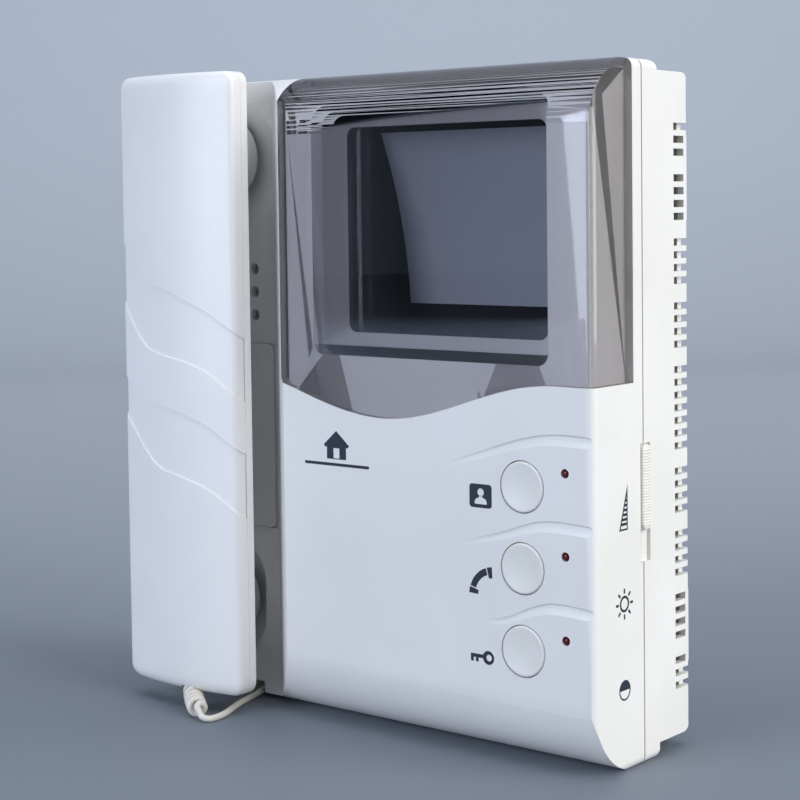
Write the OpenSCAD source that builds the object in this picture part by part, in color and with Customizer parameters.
// Video intercom monitor: a flat picture tube behind a smoked visor on the right, and a
// handset lying in a lowered cradle on the left.
//
// Every sub-part is drawn in the bench frame: X runs left (negative) from the right side
// face, Y runs back from the front face and Z up from the base. seat() then moves it to
// the part's own frame, whose origin is the bottom centre of the whole object.

/* [Case] */
// Width of the case over both side faces
case_w = 196; // [194:1:200]
// Height of the case
case_h = 220; // [220:1:224]
// Depth from the front face to the rear face
case_d = 57; // [56:0.1:58]
// Thickness of the moulded walls
wall = 2.4; // [2:0.1:2.6]
// Depth of the seam between the front shell and the rear cover
seam_y = 28; // [27:0.5:28.5]
// Radius of the top front rounding
top_r = 20; // [18:1:22]
// Radius of the bottom front rounding
toe_r = 24; // [20:1:26]
// Radius of the side edges
edge_r = 3; // [2.8:0.1:4]

/* [Raised body and cradle] */
// Width of the raised body that carries the screen and the buttons
body_w = 126; // [124:1:128]
// Depth of the cradle floor below the front face
floor_y = 15; // [14:0.5:15]
// Run of the sloping wall between the raised body and the cradle floor
slope_run = 17; // [16:0.5:18]
// Depth of the round dish behind the ear cup
dish_depth = 7; // [6:0.5:7]

/* [Screen] */
// Width of the window in the bezel
window_w = 80.3; // [76:0.1:81]
// Height of the window in the bezel
window_h = 67.5; // [64:0.1:68]
// Width of the sloping bevel round the window
bevel_w = 7.8; // [6:0.1:7.8]
// Thickness of the smoked visor
visor_t = 2.8; // [2.4:0.1:3]

/* [Controls] */
// Diameter of the push buttons
button_d = 16; // [14:0.5:16]
// Travel of the push buttons
button_travel = 1; // [0.6:0.1:1]
// Travel of the volume slider
slider_travel = 9.5; // [8:0.5:9.5]
// Diameter of the brightness and contrast knobs
trimmer_d = 10; // [8:0.5:10]
// Clearance round parts that move
gap = 0.3; // [0.25:0.05:0.35]

/* [Handset] */
// Width of the handset
handset_w = 55.5; // [52:0.5:56]
// Radius of the ear cap
ear_r = 14.5; // [13:0.5:15]
// Radius of the mouth cap
mouth_r = 12.3; // [11:0.1:12.5]
// Thickness of the handset's walls
handset_wall = 2; // [1.8:0.1:2.2]

/* [Wall bracket] */
// Distance between the two wall screws
screw_pitch = 83.5; // [83.5:0.5:84]
// Radius of the holes for the wall screws
screw_hole_r = 2.3; // [2:0.1:2.5]

/* [Hidden] */
$fn = 64;
big = 400;

// case
slope = slope_run / floor_y;
slope_push = sqrt(1 + slope * slope);
step_y = 36.7;
box_top = case_h - 3.2;
box_foot = 4.45;
box_left = 4;
box_right = 1;
box_r = 1.5;
pad_y = case_d + 0.9;
bed_t = wall + visor_t;

// screen
window_x = -66.15;
window_z = 167.45;
glass_y = 13.2;
glass_wall = 2.4;
tube_x = 45;
tube_z = [127, 208];
curve_y = -124;
curve_z = 130;
curve_r = 166;
neck_y = 30;
neck_r = 9.5;

// controls
button_x = -26.5;
button_z = [88.6, 63.2, 37.4];
led_x = -10.5;
led_rise = 5.4;
button_board_y = 9.6;
slider_y = [26, 31.6];
slider_top = 101.1;
slider_l = 27;
slider_proud = 1.2;
trimmer_x = -30;
trimmer_z = [52.7, 25.9];
board_y = 47.4;
board_t = 1.6;

// cradle
dish_x = -165;
dish_z = 190;
dish_r = 25;
dish_ball_r = (dish_r * dish_r + dish_depth * dish_depth) / (2 * dish_depth);
pocket_r = 15.4;
pocket_z = [30, 41];
pocket_y = floor_y + 6;
speaker_x = -165;
speaker_z = 145.5;
hole_pitch = 8.15;
card_x = [-187, -143.6];
card_z = [61.7, 127.5];
card_y = 14.3;

// handset
handset_x = -166.75;
handset_z = [6.5, 222];
handset_face = -14;
handset_side = -9.5;
handset_seam = -5;
handset_back = -2;
crown = handset_side - handset_face;
crown_r = (handset_w * handset_w / 4 + crown * crown) / (2 * crown);
ear_z = 193;
mouth_z = 35.2;
cap_y = 16;
cap_tip = 17.6;

// bracket
bracket_x = -case_w / 2;
bracket_z = 140;
hook_x = 24;
hook_z = [112, 168];
hook_rise = 6;
bracket_travel = 7;

// curly cord: the coil's middle line out of the handset, then the straight tail
coil_r = 3.6;
wire_r = 1.1;
coil_route = [[-164, -8, 12.5], [-164, -8.3, 9], [-162.3, -9.8, 6.3], [-158.6, -13, 4.5],
    [-154, -16.6, 3.8], [-150.5, -19.2, 3.7]];
tail_route = [[-150.5, -19.2, 3.7], [-148.2, -20.8, 3], [-146, -21.6, 1.9],
    [-144.2, -20.4, 1.2], [-143.5, -17.5, 1.1], [-144.3, -12.5, 1.1], [-146.8, -6.5, 1.1],
    [-149.6, 0, 1.1], [-151.8, 7, 1.1], [-153.3, 13, 1.2], [-154.2, 17.5, 1.8],
    [-154.5, 21.6, 3.1]];
grommet = [-154.5, 22, 3.2];

// part frame
middle_x = (slider_proud - case_w) / 2;
middle_y = (handset_face + pad_y) / 2;

// ---- helpers --------------------------------------------------------------------------

module seat() { translate([-middle_x, -middle_y, 0]) children(); }

module along_x(from, to) {
    translate([from, 0, 0]) rotate([90, 0, 90]) linear_extrude(to - from) children();
}

module along_y(from, to) {
    translate([0, to, 0]) rotate([90, 0, 0]) linear_extrude(to - from) children();
}

module along_z(from, to) { translate([0, 0, from]) linear_extrude(to - from) children(); }

module bar(low, high) { translate(low) cube(high - low); }

// A round bar along Y, given by its middle [x, z]
module rod_y(middle, r, from, to) {
    translate([middle[0], from, middle[1]]) rotate([-90, 0, 0]) cylinder(r = r, h = to - from);
}

// A turned cone along Y
module cone_y(middle, r_from, r_to, from, to) {
    translate([middle[0], from, middle[1]]) rotate([-90, 0, 0])
        cylinder(r1 = r_from, r2 = r_to, h = to - from);
}

// Rectangle with its own radius at each corner: lower left, lower right, upper right, upper left
module round_rect(low, high, r) {
    corner = [[low.x, low.y, 1, 1], [high.x, low.y, -1, 1], [high.x, high.y, -1, -1],
        [low.x, high.y, 1, -1]];
    polygon([for (i = [0 : 3], side = [0 : r[i] > 0 ? 1 : 0])
        let (c = corner[i], first = (i + side) % 2 == 0)
        [c[0] + (first ? 0 : c[2] * r[i]), c[1] + (first ? c[3] * r[i] : 0)]]);
    for (i = [0 : 3]) if (r[i] > 0) translate([corner[i][0] + corner[i][2] * r[i],
        corner[i][1] + corner[i][3] * r[i]]) circle(r[i]);
}

function unit(v) = v / norm(v);

// Rings of a swept tube: each ring's normal is the route's direction there
function route_way(route, i) =
    unit(route[min(i + 1, len(route) - 1)] - route[max(i - 1, 0)]);

module tube(route, r, sides) {
    last = len(route) - 1;
    points = [for (i = [0 : last]) let (
            way = route_way(route, i),
            across = unit(cross(way, [0.3, 0.5, 0.81])),
            up = cross(way, across))
        for (k = [0 : sides - 1]) route[i]
            + r * cos(360 * (k + 0.5) / sides) * across
            + r * sin(360 * (k + 0.5) / sides) * up];
    skin = [for (i = [0 : last - 1], k = [0 : sides - 1], half = [0, 1])
        let (near = i * sides, far = near + sides, next = (k + 1) % sides)
        half == 0 ? [near + k, near + next, far + next] : [near + k, far + next, far + k]];
    polyhedron(points, concat([[for (k = [sides - 1 : -1 : 0]) k]], skin,
        [[for (k = [0 : sides - 1]) last * sides + k]]), convexity = 6);
}

// ---- case outline ---------------------------------------------------------------------

// X of the sloping wall at a depth, moved into the body by o
function slope_x(y, o) = -body_w - slope * y + o * slope_push;

// The closed outline of the case, set in by o all round, from the front to a depth
module case_solid(o, depth) {
    intersection() {
        along_x(-case_w + o, -o) round_rect([o, o], [depth, case_h - o],
            [toe_r - o, 0, 0, top_r - o]);
        along_z(0, case_h) difference() {
            round_rect([-case_w + o, o], [-o, depth],
                [0, max(edge_r - o, 0.4), 0, 0]);
            polygon([[-case_w - big, -big], [slope_x(0, o) + slope * big, -big],
                [slope_x(floor_y + o, o), floor_y + o],
                [-case_w + edge_r, floor_y + o], [-case_w + o, floor_y + edge_r],
                [-case_w - big, floor_y + edge_r]]);
        }
        along_y(0, depth) round_rect([-case_w + o, o], [-o, case_h - o],
            [1, 1, 1, 1] * max(edge_r - o, 0.4));
    }
}

// Lower edge of the visor on the front face: a dip under the screen, level at the right
function wave(x) = x > -14 ? 120.3
    : 113.3 - 7 * cos(180 * (x + 82) / (x < -82 ? 72 : 68));

// Everything in front of and above the visor's edges, grown by o
module visor_zone(o) {
    left = slope_x(visor_t, 0) - 1 - o;
    intersection() {
        along_y(-1, 22.3 + o) polygon(concat([[1, case_h + 1], [left, case_h + 1]],
            [for (x = [left : 3 : 0]) [x, wave(x) - o]], [[1, wave(0) - o]]));
        along_x(left, 1) round_rect([-1, 90], [22.3 + o, case_h + 1],
            [0, 5, 0, 0]);
    }
}

// ---- case -----------------------------------------------------------------------------

module shell_posts() {
    for (x = [-184, -12], z = [13, 207]) rod_y([x, z], 3.6, 3, 30);
    for (x = [-118.5, -13.8]) rod_y([x, 165], 3, 4, 14);
}

module post_bores() {
    for (x = [-184, -12], z = [13, 207]) rod_y([x, z], 1.55, 20, 31);
    for (x = [-118.5, -13.8]) rod_y([x, 165], 1.3, 7, 15);
}

module dish(r, rise) {
    intersection() {
        translate([dish_x, floor_y + dish_depth - dish_ball_r, dish_z])
            sphere(r = dish_ball_r + rise, $fn = 96);
        rod_y([dish_x, dish_z], r + 2, floor_y - 0.5, floor_y + dish_depth + rise + 1);
    }
}

module pocket(r, depth) {
    along_y(floor_y - 1, depth) {
        for (z = pocket_z) translate([dish_x, z]) circle(r);
        translate([dish_x - r, pocket_z[0]]) square([2 * r, pocket_z[1] - pocket_z[0]]);
    }
}

module front_shell() color("ivory") seat() difference() {
    union() {
        difference() {
            case_solid(0, seam_y);
            case_solid(wall, seam_y + 1);
        }
        difference() {
            intersection() { case_solid(0, seam_y); visor_zone(wall); }
            case_solid(bed_t, seam_y + 1);
        }
        intersection() {
            union() {
                shell_posts();
                dish(dish_r + wall, wall);
                pocket(pocket_r + wall, pocket_y + wall);
                bar([-160.5, 12, 0.5], [-148.5, 27.8, 8.4]);
            }
            case_solid(1, 31);
        }
    }
    difference() { visor_zone(0); case_solid(visor_t, seam_y + 2); }
    intersection() {
        dish(dish_r, 0);
        bar([-case_w, 0, 0], [slope_x(floor_y, 0) - 0.2, 60, case_h]);
    }
    pocket(pocket_r, pocket_y);
    post_bores();
    along_y(0, 9) round_rect([window_x - window_w / 2 - bevel_w, window_z - window_h / 2 - bevel_w],
        [window_x + window_w / 2 + bevel_w, window_z + window_h / 2 + bevel_w], [4, 4, 4, 4]);
    for (z = button_z) {
        rod_y([button_x, z], button_d / 2 + gap, -1, 4);
        rod_y([led_x, z + led_rise], 1.45, -1, 4);
    }
    for (i = [0 : 3], k = [-1 : 1])
        rod_y([speaker_x + (i - 1.5) * hole_pitch, speaker_z + k * hole_pitch], 2,
            floor_y - 1, floor_y + 4);
    bar([card_x[0], 0, card_z[0]], [card_x[1], floor_y + 0.6, card_z[1]]);
    rod_y([dish_x, dish_z], 3 + gap, floor_y, 30);
    bar([-1.2, slider_y[0], slider_top - slider_l - slider_travel - 2 * gap],
        [1, seam_y + 1, slider_top]);
    bar([-158, 2, -1], [-151, grommet[1], 5.8]);
    rod_y([grommet[0], grommet[2]], 2.6, 20, 29);
}

// Slots in one row up the right rear corner, left out where the corner is closed
function vent_open(i) = len([for (skip = [3, 8, 13, 18, 26, 31, 36, 41]) if (skip == i) 1]) == 0;

module vents() {
    for (i = [0 : 44]) if (vent_open(i)) let (
            z = 110 + (22 - i) * 4.07,
            closed = (z > 168 && z < 198) || (z > 26 && z < 51))
        bar([-3.7, 48.2, z - 1.15], [1, closed ? case_d - 2.7 : 62, z + 1.15]);
}

module rear_block(o) {
    intersection() {
        along_x(-case_w + box_left + o, -box_right - o)
            round_rect([seam_y + 4, box_foot + o], [case_d - o, box_top - o],
                [0, max(4 - o, 0.4), max(4 - o, 0.4), 0]);
        along_z(0, case_h) round_rect([-case_w + box_left + o, seam_y + 4],
            [-box_right - o, case_d - o], [0, 0, max(box_r - o, 0.4), max(box_r - o, 0.4)]);
    }
}

module rear_rim(o) {
    intersection() {
        along_x(-case_w + o, -o) round_rect([seam_y - (o > 0 ? 1 : 0), o],
            [step_y - o, case_h - o], [0, max(3 - o, 0.4), max(3 - o, 0.4), 0]);
        along_y(20, step_y) round_rect([-case_w + o, o], [-o, case_h - o],
            [1, 1, 1, 1] * max(edge_r - o, 0.4));
    }
}

module rear_cover() color("ivory") seat() difference() {
    union() {
        difference() {
            union() { rear_rim(0); rear_block(0); }
            rear_rim(wall);
            rear_block(wall);
        }
        intersection() {
            union() {
                for (x = [-184, -12], z = [13, 207]) rod_y([x, z], 5.2, 30.2, case_d);
                for (x = [-116, -12]) rod_y([x, 94], 3, board_y + board_t, case_d - 1);
                for (x = [-116, -44]) rod_y([x, 18], 3, board_y + board_t, case_d - 1);
            }
            union() { rear_rim(0.5); rear_block(0.5); bar([-190, 30, 8], [-6, 40, 212]); }
        }
        for (side = [[-21, -2], [-case_w + 6, -case_w + 25]], z = [[169.8, 196.9], [27, 50.2]])
            bar([side[0], case_d - 1, z[0]], [side[1], pad_y, z[1]]);
    }
    for (x = [-184, -12], z = [13, 207]) {
        rod_y([x, z], 3.8, 44, 62);
        rod_y([x, z], 1.7, 29, 45);
    }
    for (x = [-116, -12]) rod_y([x, 94], 1.3, 48, 53.4);
    for (x = [-116, -44]) rod_y([x, 18], 1.3, 48, 53.4);
    vents();
    for (z = trimmer_z) rod_y([trimmer_x, z], trimmer_d / 2 + 0.4, 50, 62);
    along_y(50, 62) round_rect([-85, 7], [-51, 28], [2, 2, 2, 2]);
    bar([-1.2, seam_y - 1, slider_top - slider_l - slider_travel - 2 * gap],
        [1, slider_y[1], slider_top]);
    bar([-3, 28.2, 74.1], [1, 30.2, 91.4]);
    bar([bracket_x - 31, case_d - 0.5, bracket_z - 56], [bracket_x + 31, 62, bracket_z + 49]);
    for (side = [-1, 1], z = hook_z)
        bar([bracket_x + side * hook_x - 4.4, 50, z - bracket_travel - gap],
            [bracket_x + side * hook_x + 4.4, 62, z + 1.2 + gap]);
}

module visor() color("dimgray", 0.5) seat() difference() {
    intersection() { case_solid(0, seam_y); visor_zone(0); }
    case_solid(visor_t, seam_y + 1);
}

module screen_bezel() color("lightgray") seat() {
    low = [window_x - window_w / 2, window_z - window_h / 2];
    high = [window_x + window_w / 2, window_z + window_h / 2];
    grow = [bevel_w, bevel_w];
    difference() {
        union() {
            intersection() {
                case_solid(visor_t, seam_y);
                along_y(0, glass_y) round_rect(low - grow, high + grow, [4, 4, 4, 4]);
            }
            intersection() {
                case_solid(bed_t, seam_y);
                along_y(5, 7.2) round_rect(low - grow * 1.4, high + grow * 1.4, [5, 5, 5, 5]);
            }
        }
        hull() {
            along_y(visor_t - 0.2, visor_t) round_rect(low - grow * 0.99, high + grow * 0.99,
                [4, 4, 4, 4], $fn = 32);
            along_y(glass_y, glass_y + 1) round_rect(low, high, [3, 3, 3, 3], $fn = 32);
        }
        along_y(-1, visor_t) round_rect(low - grow * 0.99, high + grow * 0.99, [4, 4, 4, 4]);
        for (x = [-118.5, -13.8]) rod_y([x, 165], 3.3, 4, 14);
    }
}

// ---- picture tube ---------------------------------------------------------------------

// Side outline of the flat bottle: flat in front, curved behind, set in by o
module tube_side(o) {
    intersection() {
        translate([glass_y + o, tube_z[0] + o])
            square([60, tube_z[1] - tube_z[0] - 2 * o]);
        translate([curve_y, curve_z]) circle(curve_r + 4 - o, $fn = 128);
    }
}

module tube_envelope() color("lightsteelblue", 0.4) seat() difference() {
    union() {
        along_x(window_x - tube_x, window_x + tube_x) tube_side(0);
        translate([window_x, neck_y, 112]) cylinder(r1 = neck_r, r2 = 14.5, h = 15.5);
        translate([window_x, neck_y, 60]) cylinder(r = neck_r, h = 53);
    }
    along_x(window_x - tube_x + glass_wall, window_x + tube_x - glass_wall)
        tube_side(glass_wall);
    translate([window_x, neck_y, 111.9]) cylinder(r1 = 8.2, r2 = 13.2, h = 18);
    translate([window_x, neck_y, 61.5]) cylinder(r = 8.2, h = 51);
}

module phosphor_screen() color("slategray") seat()
    along_x(window_x - 37, window_x + 37) intersection() {
        difference() {
            translate([curve_y, curve_z]) circle(curve_r + 0.8, $fn = 128);
            translate([curve_y, curve_z]) circle(curve_r, $fn = 128);
        }
        translate([0, 141.5]) square([60, 58.8]);
    }

module electron_gun() color("silver") seat() translate([window_x, neck_y, 0]) {
    translate([0, 0, 61.5]) cylinder(r = 3, h = 6);
    translate([0, 0, 67]) cylinder(r = 6.6, h = 8);
    translate([0, 0, 74]) cylinder(r = 4.5, h = 5);
    translate([0, 0, 78]) cylinder(r = 6.6, h = 12);
    translate([0, 0, 89]) cylinder(r = 4.5, h = 5);
    translate([0, 0, 93]) cylinder(r = 6.6, h = 10);
}

module tube_socket() color("saddlebrown") seat() translate([window_x, neck_y, 0])
    difference() {
        translate([0, 0, 49]) cylinder(r = 12, h = 16);
        translate([0, 0, 60]) cylinder(r = neck_r, h = 6);
    }

module deflection_yoke() color("sienna") seat() translate([window_x, neck_y, 0])
    rotate_extrude() polygon([[9.7, 90], [13, 90], [14.5, 93], [14.5, 104], [17.5, 106],
        [17.5, 111.5], [9.7, 111.5]]);

module tube_strap() color("silver") seat() difference() {
    along_z(159, 171) {
        translate([-121.5, 14]) square([8.5, 1]);
        translate([-113.6, 14]) square([1, 30.8]);
        translate([-113.6, 43.8]) square([94.9, 1]);
        translate([-19.7, 14]) square([1, 30.8]);
        translate([-19.2, 14]) square([8.5, 1]);
    }
    for (x = [-118.5, -13.8]) rod_y([x, 165], 1.6, 13, 16);
}

// ---- boards and what is on them -------------------------------------------------------

module main_board() color("darkgreen") seat() difference() {
    bar([-122, board_y, 12], [-6, board_y + board_t, 100]);
    for (x = [-116, -12]) rod_y([x, 94], 1.6, 40, 52);
    for (x = [-116, -44]) rod_y([x, 18], 1.6, 40, 52);
    for (z = trimmer_z) rod_y([trimmer_x, z], 2.2, 40, 52);
    rod_y([-12, 13], 5.8, 40, 52);
}

module flyback_transformer() color("dimgray") seat() {
    bar([-112, 24, 52], [-86, board_y, 82]);
    translate([-99, 35, 82]) cylinder(r = 8, h = 5);
    bar([-104, 21, 56], [-94, 24, 78]);
}

module mains_transformer() color("peru") seat() {
    bar([-186, 24.3, 70], [-146, case_d - wall, 76]);
    bar([-186, 24.3, 98], [-146, case_d - wall, 104]);
    bar([-186, 24.3, 76], [-178, case_d - wall, 98]);
    bar([-154, 24.3, 76], [-146, case_d - wall, 98]);
    bar([-178, 21, 76], [-154, case_d - wall, 98]);
}

module heat_sink() color("silver") seat() {
    bar([-112, board_y - 2, 24], [-84, board_y, 44]);
    for (i = [0 : 6]) bar([-112 + i * 4.4, 30, 24], [-110.4 + i * 4.4, board_y - 1.5, 44]);
}

module capacitors() color("navy") seat() {
    for (at = [[-46, 32], [-46, 48], [-34, 70], [-78, 22]])
        rod_y(at, 6, 27, board_y);
}

module terminal_block() color("forestgreen") seat() difference() {
    bar([-82, board_y + board_t, 17], [-54, case_d - 1, 27]);
    for (i = [0 : 3]) {
        rod_y([-78.5 + i * 7, 23.5], 1.9, 53, 60);
        bar([-80.5 + i * 7, 50.5, 16], [-76.5 + i * 7, 55, 19.5]);
    }
}

module button_board() color("darkgreen") seat() difference() {
    bar([-46, button_board_y, 26], [-5, button_board_y + board_t, 102]);
    for (z = [50, 76]) rod_y([-41, z], 1.6, 5, 15);
}

module tact_switches() color("black") seat() for (z = button_z) difference() {
    bar([button_x - 3.5, 5.8, z - 3.5], [button_x + 3.5, button_board_y, z + 3.5]);
    rod_y([button_x, z], 2.1, 5, 8.2);
}

module indicator_leds() color("darkred") seat() for (z = button_z) {
    rod_y([led_x, z + led_rise], 1.4, 1.2, 7);
    rod_y([led_x, z + led_rise], 1.8, 6, button_board_y);
    translate([led_x, 1.2, z + led_rise]) sphere(r = 1.4);
}

module slide_pot() color("silver") seat() difference() {
    bar([-14, 24.5, 64], [-6.6, 33.5, 101]);
    bar([-9.4, 28, 73.5], [-6, 30.4, 92]);
}

module trimmer_pots() color("royalblue") seat() for (z = trimmer_z) difference() {
    bar([trimmer_x - 5, 40.5, z - 5], [trimmer_x + 5, board_y, z + 5]);
    rod_y([trimmer_x, z], 1.55, 42, 50);
}

module loudspeaker() color("darkgray") seat() {
    rod_y([speaker_x, speaker_z], 18.8, floor_y + wall, floor_y + wall + 1.6);
    cone_y([speaker_x, speaker_z], 17.5, 11, floor_y + wall + 1.6, floor_y + 9);
    rod_y([speaker_x, speaker_z], 11, floor_y + 9, floor_y + 15);
}

module hook_switch() color("black") seat() difference() {
    bar([dish_x - 8, 30.4, dish_z - 9], [dish_x + 8, 43, dish_z + 5]);
    rod_y([dish_x, dish_z], 2.1, 30, 40);
}

module card_cover() color("whitesmoke") seat()
    along_y(card_y, floor_y + 0.6) round_rect([card_x[0] + 0.2, card_z[0] + 0.2],
        [card_x[1] - 0.2, card_z[1] - 0.2], [3, 3, 3, 3]);

// ---- fasteners ------------------------------------------------------------------------

// A pan-head screw along Y: the head's seat at y, the shank towards the front
module screw(at, y, head_r, shank_r, length) {
    difference() {
        rod_y(at, head_r, y, y + 2.2);
        for (turn = [0, 90]) translate([at[0], y + 2, at[1]]) rotate([0, turn, 0])
            cube([head_r * 1.1, 2, 0.7], center = true);
    }
    rod_y(at, shank_r, y - length, y);
}

module case_screws() color("silver") seat()
    for (x = [-184, -12], z = [13, 207]) screw([x, z], 44, 3, 1.5, 22);

// These point the other way: through the board into the rear cover's posts
module board_screws() color("gold") seat()
    for (at = [[-116, 94], [-12, 94], [-116, 18], [-44, 18]])
        translate([0, 2 * board_y, 0]) mirror([0, 1, 0]) screw(at, board_y, 2.6, 1.25, 5.6);

module strap_screws() color("silver") seat()
    for (x = [-118.5, -13.8]) screw([x, 165], 15, 2.6, 1.25, 7);

// ---- controls -------------------------------------------------------------------------

module push_button(z) seat() {
    difference() {
        rod_y([button_x, z], button_d / 2, -0.3, 3.4);
        translate([button_x, -0.3 - 59.2, z]) sphere(r = 60, $fn = 96);
    }
    rod_y([button_x, z], button_d / 2 + 1.4, wall + gap, 4.1);
    rod_y([button_x, z], 1.8, 4, 6.6);
}

module monitor_button() color("ghostwhite") push_button(button_z[0]);
module talk_button() color("ghostwhite") push_button(button_z[1]);
module door_button() color("ghostwhite") push_button(button_z[2]);

module volume_knob() color("white") seat() {
    bar([-0.9, slider_y[0] + gap, slider_top - gap - slider_l],
        [slider_proud - 0.4, slider_y[1] - gap, slider_top - gap]);
    for (i = [0 : 26]) bar([0.5, slider_y[0] + 0.7, slider_top - slider_l + 0.9 * i + 1.2],
        [slider_proud, slider_y[1] - 0.7, slider_top - slider_l + 0.9 * i + 1.65]);
    bar([-8, 28.6, 84], [-0.5, 29.8, 91]);
}

module trimmer_knob(z) seat() {
    difference() {
        rod_y([trimmer_x, z], trimmer_d / 2, case_d - 4.5, case_d - 0.3);
        bar([trimmer_x - 3.6, case_d - 1.8, z - 0.6], [trimmer_x + 3.6, case_d, z + 0.6]);
    }
    rod_y([trimmer_x, z], 1.5, 43, case_d - 4.2);
}

module brightness_knob() color("darkslategray") trimmer_knob(trimmer_z[0]);
module contrast_knob() color("darkslategray") trimmer_knob(trimmer_z[1]);

module hook_plunger() color("dimgray") seat() {
    rod_y([dish_x, dish_z], 3, 18.9, 30);
    cone_y([dish_x, dish_z], 2.2, 3, 18, 18.9);
    rod_y([dish_x, dish_z], 4.2, 28.9, 30);
    rod_y([dish_x, dish_z], 1.8, 30, 35);
}

module wall_bracket() color("lightsteelblue") seat() {
    rear = pad_y;
    front = rear - 1.2;
    difference() {
        bar([bracket_x - 30, front, bracket_z - 48], [bracket_x + 30, rear, bracket_z + 48]);
        for (side = [-1, 1])
            rod_y([bracket_x, bracket_z + side * screw_pitch / 2], screw_hole_r, 50, 62);
        for (side = [-1, 1], z = hook_z) bar([bracket_x + side * hook_x - 5, 50, z + 1.2],
            [bracket_x + side * hook_x + 5, 62, z + 7.2]);
        rod_y([bracket_x, bracket_z], 10, 50, 62);
    }
    for (side = [-1, 1], z = hook_z) let (x = bracket_x + side * hook_x) {
        bar([x - 4, case_d - 3.8, z], [x + 4, rear, z + 1.2]);
        bar([x - 4, case_d - 3.8, z], [x + 4, case_d - 2.7, z + hook_rise]);
    }
}

// ---- handset --------------------------------------------------------------------------

// Outline of the handset set in by o: crowned face, round-ended sides
module handset_solid(o, from, to) {
    intersection() {
        along_z(0, 230) intersection() {
            translate([handset_x, handset_face + crown_r]) circle(crown_r - o, $fn = 128);
            round_rect([handset_x - handset_w / 2 + o, handset_face + o],
                [handset_x + handset_w / 2 - o, to], [6, 6, 0, 0]);
        }
        along_y(from, to) round_rect([handset_x - handset_w / 2 + o, handset_z[0] + o],
            [handset_x + handset_w / 2 - o, handset_z[1] - o], [5, 5, 4, 4]);
        along_x(handset_x - 40, handset_x + 40) round_rect([handset_face + o, handset_z[0] + o],
            [to, handset_z[1] - o], [5, 0, 0, 3]);
    }
}

// A round bar between two points, longer by extra at both ends
module rod(a, b, r, extra) {
    way = b - a;
    translate(a) rotate([0, acos(way.z / norm(way)), atan2(way.y, way.x)])
        translate([0, 0, -extra]) cylinder(r = r, h = norm(way) + 2 * extra);
}

// Room for the coil where it leaves the lower end
module cord_pocket() {
    for (i = [0 : 3]) rod(coil_route[i], coil_route[i + 1], coil_r + 0.6, i == 0 ? 0.8 : 1.4);
}

module handset_posts(r, from, to) {
    for (z = [66, 150]) rod_y([handset_x, z], r, from, to);
}

module handset_front_shell() color("gainsboro") seat() difference() {
    union() {
        difference() {
            handset_solid(0, handset_face - 1, handset_seam);
            handset_solid(handset_wall, handset_face + handset_wall, handset_seam + 1);
        }
        handset_posts(3, -12.8, handset_seam);
        intersection() {
            rod_y([coil_route[0].x, 12], 8, -13, handset_seam);
            handset_solid(0.5, handset_face, handset_seam);
            bar([-190, -14, 0], [-130, 0, 20]);
        }
    }
    handset_posts(1.3, -11, 0);
    cord_pocket();
    gland_seat();
}

module gland_seat() { translate([-164, -8, 12.6]) cylinder(r = 4.3, h = 6); }

module cup(z, r_tip, r_foot, o) {
    cone_y([handset_x, z], r_foot - o, r_tip - o, handset_back - 1.5, cap_y);
}

module handset_back_shell() color("gainsboro") seat() difference() {
    union() {
        difference() {
            handset_solid(0, handset_seam, handset_back);
            handset_solid(handset_wall, handset_seam - 1, handset_back - 1.4);
        }
        cup(ear_z, ear_r, 21, 0);
        cup(mouth_z, mouth_r, 17, 0);
        handset_posts(3.2, handset_seam, handset_back);
        intersection() {
            rod_y([coil_route[0].x, 12], 8, handset_seam, handset_back);
            handset_solid(0.5, handset_seam, handset_back);
        }
    }
    cone_y([handset_x, ear_z], 19, ear_r - 2, handset_back - 1.6, cap_y + 0.1);
    cone_y([handset_x, mouth_z], 15, mouth_r - 2, handset_back - 1.6, cap_y + 0.1);
    rod_y([handset_x, ear_z], 19, handset_seam - 1, handset_back - 1.5);
    rod_y([handset_x, mouth_z], 15, handset_seam - 1, handset_back - 1.5);
    handset_posts(1.6, -8, 0);
    handset_posts(2.9, -4.2, 0);
    cord_pocket();
    gland_seat();
}

module cap(z, r, rows) {
    difference() {
        union() {
            rod_y([handset_x, z], r, cap_y, cap_y + 0.8);
            cone_y([handset_x, z], r, r - 0.8, cap_y + 0.8, cap_tip);
        }
        for (ring = [1 : rows], i = [0 : ring * 6 - 1])
            rod_y([handset_x + ring * 3.2 * cos(i * 60 / ring),
                z + ring * 3.2 * sin(i * 60 / ring)], 0.7, 10, 20);
        rod_y([handset_x, z], 0.7, 10, 20);
    }
}

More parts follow.
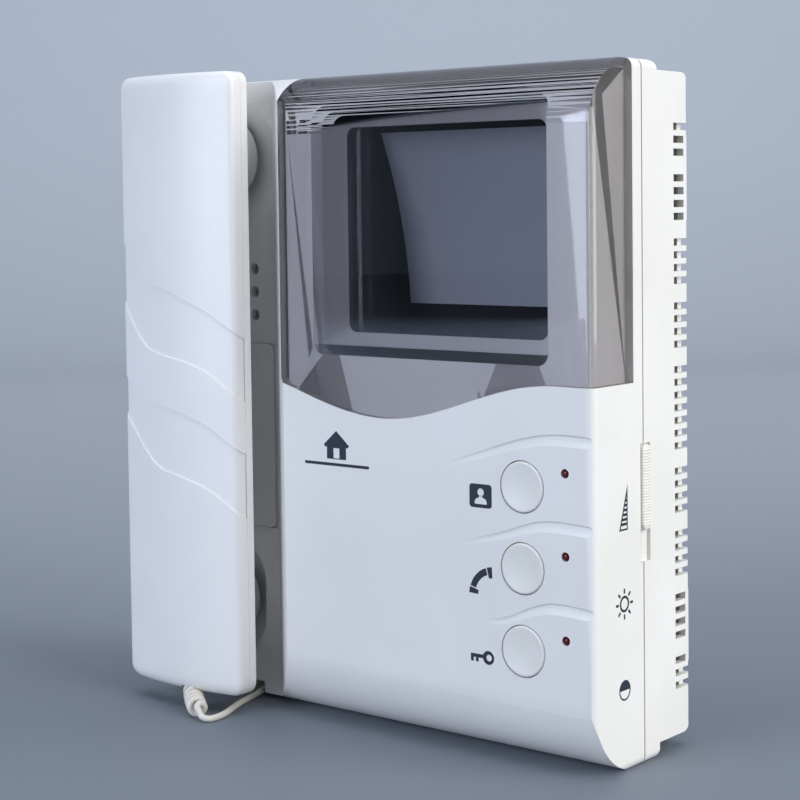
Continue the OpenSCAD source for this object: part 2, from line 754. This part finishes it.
module ear_cap() color("gainsboro") seat() cap(ear_z, ear_r, 2);
module mouth_cap() color("gainsboro") seat() cap(mouth_z, mouth_r, 1);

module earpiece_capsule() color("silver") seat() {
    rod_y([handset_x, ear_z], 11, 12.4, cap_y);
    rod_y([handset_x, ear_z], 8, 6, 12.4);
}

module microphone_capsule() color("silver") seat()
    rod_y([handset_x, mouth_z], 4.85, 9, cap_y - 0.6);

module microphone_boot() color("black") seat() difference() {
    rod_y([handset_x, mouth_z], 7.6, 7.5, cap_y);
    rod_y([handset_x, mouth_z], 4.85, 9, cap_y + 1);
}

module handset_weight() color("slategray") seat()
    bar([handset_x - 14, -10.3, 84], [handset_x + 14, -5, 132]);

module handset_gland() color("lightgray") seat() difference() {
    translate([-164, -8, 12.5]) cylinder(r = 4.2, h = 5);
    translate([-164, -8, 13.5]) cylinder(r = wire_r + 0.1, h = 5);
}

module handset_screws() color("silver") seat()
    for (z = [66, 150]) screw([handset_x, z], -4.2, 2.7, 1.25, 6);

// ---- cord -----------------------------------------------------------------------------

module cord_grommet() color("gray") seat() difference() {
    rod_y([grommet[0], grommet[2]], 2.6, grommet[1], grommet[1] + 6);
    rod_y([grommet[0], grommet[2]], wire_r + 0.1, grommet[1] + 0.8, grommet[1] + 7);
}

module cord_coil() color("linen") seat() tube(coil_route, coil_r, 12);

module cord_tail() color("linen") seat() tube(tail_route, wire_r, 8);

front_shell();
rear_cover();
visor();
screen_bezel();
tube_envelope();
phosphor_screen();
electron_gun();
tube_socket();
deflection_yoke();
tube_strap();
main_board();
flyback_transformer();
mains_transformer();
heat_sink();
capacitors();
terminal_block();
button_board();
tact_switches();
indicator_leds();
slide_pot();
trimmer_pots();
loudspeaker();
hook_switch();
card_cover();
case_screws();
board_screws();
strap_screws();
cord_grommet();
cord_tail();
monitor_button();
talk_button();
door_button();
volume_knob();
brightness_knob();
contrast_knob();
hook_plunger();
wall_bracket();
handset_front_shell();
handset_back_shell();
ear_cap();
earpiece_capsule();
mouth_cap();
microphone_capsule();
microphone_boot();
handset_weight();
handset_gland();
handset_screws();
cord_coil();
